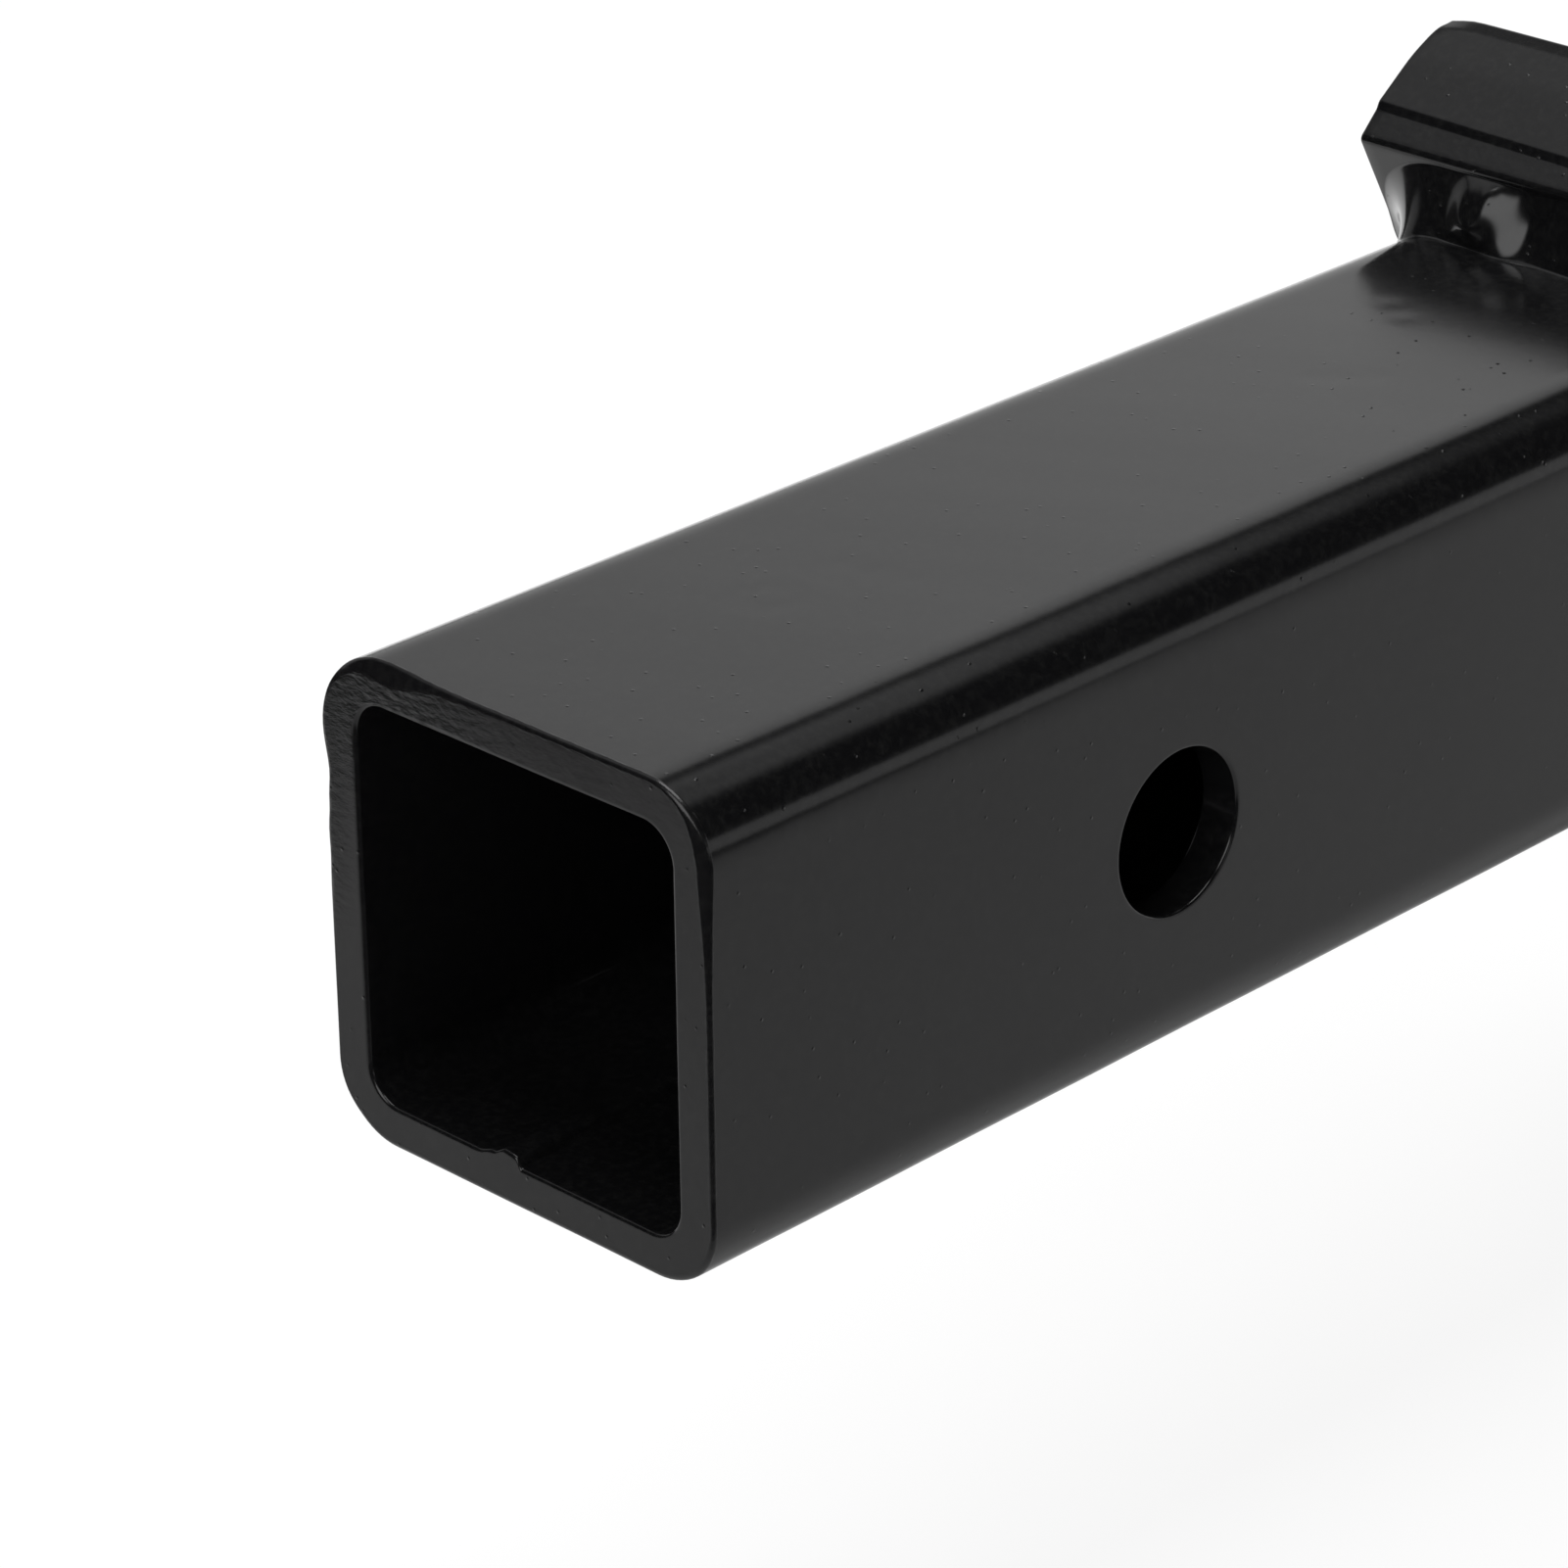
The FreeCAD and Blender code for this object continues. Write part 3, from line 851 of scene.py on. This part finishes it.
def bottom_weld_patches(sizes):
    """The even, rippled bead in the wide corner under the shank."""
    run = np.linspace(-26 * MM, 26 * MM, 261)
    taper = end_taper(run, 6 * MM)
    wave = 1 + 0.06 * np.sin(run / (3.3 * MM)) + 0.04 * np.sin(run / (1.9 * MM) + 2)
    leg = profile(run, ((-26, 4.2), (-19, 6.4), (19, 6.4), (26, 4.2))) * wave
    ripple = crescents(sizes.ripple_pitch, sizes.ripple_height)
    bulge = np.full(len(run), 0.55 * MM)
    return [bead_patch(run, leg, leg, bulge, taper, ripple, below=True)]


def side_weld_patches(sizes, side):
    """The bead down one side of the shank, under the tongue that reaches past it. It starts
    thin and a little hollow at the upper corner."""
    run = np.linspace(22 * MM, 70 * MM, 241)
    tongue_leg = profile(run, (*CORNER_TONGUE_LEG, (36, 4.3), (60, 4.2), (70, 4.2)))
    shank_leg = profile(run, (*CORNER_SHANK_LEG, (36, 5.0), (60, 5.0), (70, 4.6)))
    bulge = profile(run, (*CORNER_BULGE, (36, 0.6), (60, 0.7), (70, 0.4)))
    beyond_corner = ease(28 * MM, 36 * MM, run)
    wave = 0.05 * np.sin(run / (2.9 * MM)) + 0.04 * np.sin(run / (1.3 * MM))
    shank_leg = shank_leg * (1 + wave * beyond_corner)
    taper = end_taper(run, 4 * MM)
    full = crescents(sizes.ripple_pitch, sizes.ripple_height)

    def ripple(along, share):
        """Ripples that grow below the corner."""
        return full(along, share) * beyond_corner

    return [bead_patch(run * side, tongue_leg, shank_leg, bulge, taper, ripple)]


# Materials


def add_node(tree, kind, settings=None, inputs=None):
    """Adds one node. Settings are the node's own values. Inputs are values or other nodes'
    outputs, by socket name or number."""
    node = tree.nodes.new(kind)
    for name, value in (settings or {}).items():
        setattr(node, name, value)
    for key, value in (inputs or {}).items():
        socket = node.inputs[key]
        if isinstance(value, bpy.types.NodeSocket):
            tree.links.new(value, socket)
        else:
            socket.default_value = value
    return node


def gloss_enamel():
    """Black gloss enamel, sprayed on steel. A dielectric of low index over a near black
    pigment: almost all that the eye gets from it is the mirror image of the room, a little
    soft, with a fine orange peel of about 1.5 mm, a little dry spray mist and a few dust
    nibs."""
    look = bpy.context.scene.ball_mount_paint
    material = bpy.data.materials.new("gloss_black_enamel_sprayed")
    material.use_nodes = True
    tree = material.node_tree
    tree.nodes.clear()
    place = add_node(tree, "ShaderNodeTexCoord").outputs["Object"]
    along_saw = add_node(tree, "ShaderNodeMapping", {"vector_type": "POINT"}, {
        "Vector": place, "Scale": (1.0, 0.5, 1.0),
    }).outputs["Vector"]
    noises = []
    # Grain in mm of the orange peel, the finer peel on it, the saw's marks and the spray mist
    for vector, grain, detail, rough in (
        (place, 1.6, 2.0, 0.5), (place, 0.45, 1.0, 0.5),
        (along_saw, 0.7, 3.0, 0.6), (place, 0.9, 3.0, 0.7),
    ):
        noises.append(add_node(tree, "ShaderNodeTexNoise", {"noise_dimensions": "3D"}, {
            "Vector": vector, "Scale": 1 / (grain * MM), "Detail": detail, "Roughness": rough,
        }).outputs["Fac"])
    peel, fine, marks, mist = noises
    cut = add_node(tree, "ShaderNodeAttribute", {"attribute_name": "cut"}).outputs["Fac"]
    marks = add_node(tree, "ShaderNodeMath", {"operation": "MULTIPLY"}, {0: marks, 1: cut})
    # Dust nibs of about 0.5 mm, a few mm apart
    nibs = add_node(tree, "ShaderNodeTexVoronoi", {"feature": "F1"}, {
        "Vector": place, "Scale": 1 / (2.2 * MM), "Randomness": 1.0,
    }).outputs["Distance"]
    nibs = add_node(tree, "ShaderNodeMapRange", {"interpolation_type": "SMOOTHSTEP"}, {
        "Value": nibs, "From Min": 0.0, "From Max": 0.11, "To Min": 1.0, "To Max": 0.0,
    }).outputs[0]
    # Depth in mm of each relief, one over the other
    relief = {}
    for height, depth in (
        (peel, 0.0035), (fine, 0.0006), (marks.outputs[0], 0.055), (nibs, 0.055),
    ):
        relief["Normal"] = add_node(tree, "ShaderNodeBump", None, {
            "Strength": 1.0, "Distance": depth * MM, "Height": height, **relief,
        }).outputs["Normal"]
    mist = add_node(tree, "ShaderNodeMapRange", None, {
        "Value": mist, "From Min": 0.45, "From Max": 0.75,
    }).outputs[0]
    colour = add_node(tree, "ShaderNodeMix", {"data_type": "RGBA"}, {
        "Factor": mist, "A": tuple(look.colour), "B": hex_colour("#1a1a1a"),
    }).outputs["Result"]
    roughness = add_node(tree, "ShaderNodeMapRange", None, {
        "Value": cut, "To Min": look.roughness, "To Max": look.roughness + 0.10,
    }).outputs[0]
    paint = add_node(tree, "ShaderNodeBsdfPrincipled", None, {
        "Base Color": colour, "Roughness": roughness, "IOR": 1.40, **relief,
    })
    add_node(tree, "ShaderNodeOutputMaterial", None, {"Surface": paint.outputs["BSDF"]})
    return material


def enamel():
    """The one coat that every piece shares."""
    return bpy.data.materials.get("gloss_black_enamel_sprayed") or gloss_enamel()


# Stage

# The camera, as fitted to the shank's edges in the photograph. Lens and sensor are in mm.
CAMERA_PLACE = Vector((-383.06, -351.82, 242.12)) * MM
CAMERA_AZIMUTH = math.radians(44.710)
CAMERA_DIP = math.radians(25.222)
CAMERA_ROLL = math.radians(-0.720)
CAMERA_LENS = 135.73
SENSOR_WIDTH = 36.0


def add_camera():
    """The camera at the photograph's view: turned to its azimuth, dipped and rolled."""
    data = bpy.data.cameras.new("camera")
    data.sensor_width = SENSOR_WIDTH
    data.lens = CAMERA_LENS
    camera = bpy.data.objects.new("camera", data)
    turn = Matrix.Rotation(CAMERA_AZIMUTH - math.pi / 2, 4, "Z")
    turn @= Matrix.Rotation(math.pi / 2 - CAMERA_DIP, 4, "X")
    turn @= Matrix.Rotation(CAMERA_ROLL, 4, "Z")
    camera.matrix_world = Matrix.Translation(CAMERA_PLACE) @ turn
    bpy.context.scene.collection.objects.link(camera)
    bpy.context.scene.camera = camera


def studio_sweep(name):
    """Matt white paper. The camera sees it as white, with a tenth of it lit, so that a soft
    shadow stays. What mirrors it sees a weaker glow, a painted light that grows towards the
    back left, and more of the lit paper, which is darker under the object. In front and at
    the left, mirrors see a painted shade instead: dark grey paper without glow, which the
    camera does not see."""
    material = bpy.data.materials.new(name)
    material.use_nodes = True
    tree = material.node_tree
    tree.nodes.clear()
    rays = add_node(tree, "ShaderNodeLightPath").outputs

    def glowing(strength, colour):
        """White light of that strength and lit paper of that colour, added up."""
        glow = add_node(tree, "ShaderNodeEmission", None, {
            "Color": hex_colour("#ffffff"), "Strength": strength,
        }).outputs[0]
        paper = add_node(tree, "ShaderNodeBsdfDiffuse", None, {
            "Color": hex_colour(colour),
        }).outputs[0]
        return add_node(tree, "ShaderNodeAddShader", None, {0: glow, 1: paper}).outputs[0]

    place = add_node(tree, "ShaderNodeTexCoord").outputs["Object"]
    # The glow that mirrors see is painted light, rising towards the back left.
    to_back_left = add_node(tree, "ShaderNodeVectorMath", {"operation": "DOT_PRODUCT"}, {
        0: place, 1: (0.3, 1.0, 0.0),
    }).outputs["Value"]
    painted_glow_strength = add_node(tree, "ShaderNodeMapRange", {"interpolation_type": "SMOOTHSTEP"}, {
        "Value": to_back_left, "From Min": 0.09, "From Max": 0.20, "To Min": 0.18,
        "To Max": 0.80,
    }).outputs[0]

    def beyond(direction, start, end):
        """0 to 1 from start to end, counted along a direction on the floor."""
        along = add_node(tree, "ShaderNodeVectorMath", {"operation": "DOT_PRODUCT"}, {
            0: place, 1: direction,
        }).outputs["Value"]
        return add_node(tree, "ShaderNodeMapRange", {"interpolation_type": "SMOOTHSTEP"}, {
            "Value": along, "From Min": start, "From Max": end,
        }).outputs[0]

    # Painted shade for mirrors: 1 beyond a line in front, towards the camera, and beyond a line at
    # the left.
    dark = add_node(tree, "ShaderNodeMath", {"operation": "MAXIMUM"}, {
        0: beyond((-0.707, -0.707, 0.0), 0.11, 0.19),
        1: beyond((-0.707, 0.707, 0.0), 0.285, 0.325),
    }).outputs[0]
    mirrored = add_node(tree, "ShaderNodeMath", {"operation": "ADD", "use_clamp": True}, {
        0: rays["Is Glossy Ray"], 1: rays["Is Transmission Ray"],
    }).outputs[0]
    lit = add_node(tree, "ShaderNodeBsdfDiffuse", None, {"Color": hex_colour("#f4f4f4")}).outputs[0]
    # What mirrors see of the floor: the glowing paper, turning to dark grey without glow where the
    # painted shade lies.
    table = add_node(tree, "ShaderNodeMixShader", None, {
        0: dark, 1: glowing(painted_glow_strength, "#b8b8b8"), 2: glowing(0.0, "#303030"),
    }).outputs[0]
    seen = add_node(tree, "ShaderNodeMixShader", None, {
        0: mirrored, 1: lit, 2: table,
    }).outputs[0]
    seen = add_node(tree, "ShaderNodeMixShader", None, {
        0: rays["Is Camera Ray"], 1: seen, 2: glowing(0.88, "#686868"),
    }).outputs[0]
    add_node(tree, "ShaderNodeOutputMaterial", None, {"Surface": seen})
    return material


def add_floor():
    """A round pale floor, level with the underside of the ball platform, that reaches far
    enough to meet the studio's low white band."""
    rings = np.array([0.0, 0.4, 0.8, 1.6, 3.2, 6.4, 12.8])
    angles = np.linspace(0, 2 * math.pi, 97)[:-1]
    circle = np.stack([np.cos(angles), np.sin(angles)], -1)
    points = np.zeros((len(rings), len(angles), 3))
    points[:, :, :2] = rings[:, None, None] * circle
    points[:, :, 2] = PLATFORM_BOTTOM - 0.05 * MM
    mesh = skin_mesh("floor", [Patch(points, closed=True)])
    close_skin(mesh)
    mesh.materials.append(studio_sweep("white_paper_with_painted_reflection"))
    floor = bpy.data.objects.new("floor", mesh)
    bpy.context.scene.collection.objects.link(floor)


def add_lamp():
    """One large soft lamp overhead."""
    data = bpy.data.lights.new("overhead_softbox", "AREA")
    data.shape = "SQUARE"
    data.size = 1.5
    data.energy = 36.0
    lamp = bpy.data.objects.new("overhead_softbox", data)
    lamp.location = (0.1, 0.1, 2.2)
    bpy.context.scene.collection.objects.link(lamp)


def add_studio():
    """The room that the paint mirrors, as panels of light: a panel is even inside its span of
    azimuth and height and fades out over its soft edge. The rest of the room is dark,
    but to the camera it is all white."""
    world = bpy.data.worlds.new("studio")
    world.use_nodes = True
    tree = world.node_tree
    tree.nodes.clear()
    way = add_node(tree, "ShaderNodeTexCoord").outputs["Generated"]
    parts = add_node(tree, "ShaderNodeSeparateXYZ", None, {0: way}).outputs
    height = add_node(tree, "ShaderNodeMath", {"operation": "ARCSINE"}, {0: parts["Z"]}).outputs[0]
    azimuth = add_node(tree, "ShaderNodeMath", {"operation": "ARCTAN2"}, {
        0: parts["Y"], 1: parts["X"],
    }).outputs[0]

    def azimuth_from(centre):
        """The azimuth counted from a centre, from minus to plus half a turn."""
        turn = add_node(tree, "ShaderNodeMath", {"operation": "SUBTRACT"}, {
            0: azimuth, 1: math.radians(centre),
        }).outputs[0]
        return add_node(tree, "ShaderNodeMath", {"operation": "WRAP"}, {
            0: turn, 1: math.pi, 2: -math.pi,
        }).outputs[0]

    def panel(centre, half_span, soft_side, low, high, soft_low, soft_high, strength):
        """A panel of light. Its two sides, its upper and its lower edge each let through
        what the one before gives, over a soft step. All angles are in degrees."""
        turn = add_node(tree, "ShaderNodeMath", {"operation": "ABSOLUTE"}, {
            0: azimuth_from(centre),
        }).outputs[0]
        light = strength
        for angle, edge, soft, before, after in (
            (turn, half_span, soft_side, "To Min", "To Max"),
            (height, high, soft_high, "To Min", "To Max"),
            (height, low, soft_low, "To Max", "To Min"),
        ):
            light = add_node(tree, "ShaderNodeMapRange", {"interpolation_type": "SMOOTHSTEP"}, {
                "Value": angle, "From Min": math.radians(edge - soft / 2),
                "From Max": math.radians(edge + soft / 2), before: light, after: 0.0,
            }).outputs[0]
        return light

    backdrop_level = add_node(tree, "ShaderNodeMapRange", {"interpolation_type": "SMOOTHSTEP"}, {
        "Value": azimuth_from(45), "From Min": math.radians(-12), "From Max": math.radians(25),
        "To Min": 0.86, "To Max": 0.50,
    }).outputs[0]
    # Centre, half span and soft edge in azimuth, low and high edge, their softness, strength
    panels = [
        panel(67, 45, 10, -90, 38.5, 1, 3, backdrop_level),
        panel(-42, 75, 8, -90, 11.5, 1, 1.5, 0.9),
        panel(2, 26, 24, 45, 52, 8, 12, 0.95),
        panel(95, 35, 14, 44, 62, 12, 8, 0.7),
        panel(60, 16, 12, 30, 56, 4, 10, 0.16),
        panel(192, 26, 14, 16, 52, 8, 10, 3.2),
    ]
    total = add_node(tree, "ShaderNodeLightPath").outputs["Is Camera Ray"]
    for light in panels:
        total = add_node(tree, "ShaderNodeMath", {"operation": "MAXIMUM"}, {
            0: total, 1: light,
        }).outputs[0]
    background = add_node(tree, "ShaderNodeBackground", None, {
        "Color": hex_colour("#ffffff"), "Strength": total,
    })
    add_node(tree, "ShaderNodeOutputWorld", None, {"Surface": background.outputs[0]})
    bpy.context.scene.world = world


# Operators


class BALLMOUNT_OT_shank(bpy.types.Operator):
    """Build the hollow square shank with its sawn open end and pin hole"""

    bl_idname = "ball_mount.shank"
    bl_label = "Shank"

    def execute(self, context):
        patches = shank_patches(context.scene.ball_mount_shank)
        finish_piece("shank", "shank_tube", patches, enamel(), shank_dents)
        return {"FINISHED"}


class BALLMOUNT_OT_tongue(bpy.types.Operator):
    """Build the bent tongue bar with its sheared end, nose and ball hole"""

    bl_idname = "ball_mount.tongue"
    bl_label = "Tongue"

    def execute(self, context):
        patches = tongue_patches(context.scene.ball_mount_tongue)
        finish_piece("tongue", "tongue_bar", patches, enamel(), rolled_waves)
        return {"FINISHED"}


class BALLMOUNT_OT_welds(bpy.types.Operator):
    """Build the four weld beads between the shank and the tongue"""

    bl_idname = "ball_mount.welds"
    bl_label = "Welds"

    def execute(self, context):
        sizes = context.scene.ball_mount_weld
        beads = {
            "weld_top": top_weld_patches(sizes),
            "weld_bottom": bottom_weld_patches(sizes),
            "weld_left": side_weld_patches(sizes, 1),
            "weld_right": side_weld_patches(sizes, -1),
        }
        for node, patches in beads.items():
            finish_piece("bead" + node[4:], node, patches, enamel())
        return {"FINISHED"}


class BALLMOUNT_OT_stage(bpy.types.Operator):
    """Set the camera, the floor, the lamp and the studio"""

    bl_idname = "ball_mount.stage"
    bl_label = "Stage"

    def execute(self, context):
        add_camera()
        add_floor()
        add_lamp()
        add_studio()
        context.scene.view_settings.view_transform = "Standard"
        return {"FINISHED"}


class VIEW3D_PT_ball_mount(bpy.types.Panel):
    """Lists the pieces and their sizes in the sidebar"""

    bl_label = "Ball Mount"
    bl_idname = "VIEW3D_PT_ball_mount"
    bl_space_type = "VIEW_3D"
    bl_region_type = "UI"
    bl_category = "Ball Mount"

    def draw(self, context):
        layout = self.layout
        for name in ("shank", "tongue", "weld", "paint"):
            group = getattr(context.scene, "ball_mount_" + name)
            box = layout.box()
            for size in group.__annotations__:
                box.prop(group, size)
        for operator in OPERATORS:
            layout.operator(operator.bl_idname)


GROUPS = {
    "ball_mount_shank": ShankSizes,
    "ball_mount_tongue": TongueSizes,
    "ball_mount_weld": WeldSizes,
    "ball_mount_paint": PaintLook,
}
OPERATORS = (
    BALLMOUNT_OT_shank,
    BALLMOUNT_OT_tongue,
    BALLMOUNT_OT_welds,
    BALLMOUNT_OT_stage,
)


def register():
    for name, group in GROUPS.items():
        bpy.utils.register_class(group)
        setattr(bpy.types.Scene, name, bpy.props.PointerProperty(type=group))
    for operator in OPERATORS:
        bpy.utils.register_class(operator)
    bpy.utils.register_class(VIEW3D_PT_ball_mount)


def unregister():
    bpy.utils.unregister_class(VIEW3D_PT_ball_mount)
    for operator in reversed(OPERATORS):
        bpy.utils.unregister_class(operator)
    for name, group in GROUPS.items():
        delattr(bpy.types.Scene, name)
        bpy.utils.unregister_class(group)


def main():
    register()
    bpy.ops.ball_mount.shank()
    bpy.ops.ball_mount.tongue()
    bpy.ops.ball_mount.welds()
    bpy.ops.ball_mount.stage()


if __name__ == "__main__":
    main()
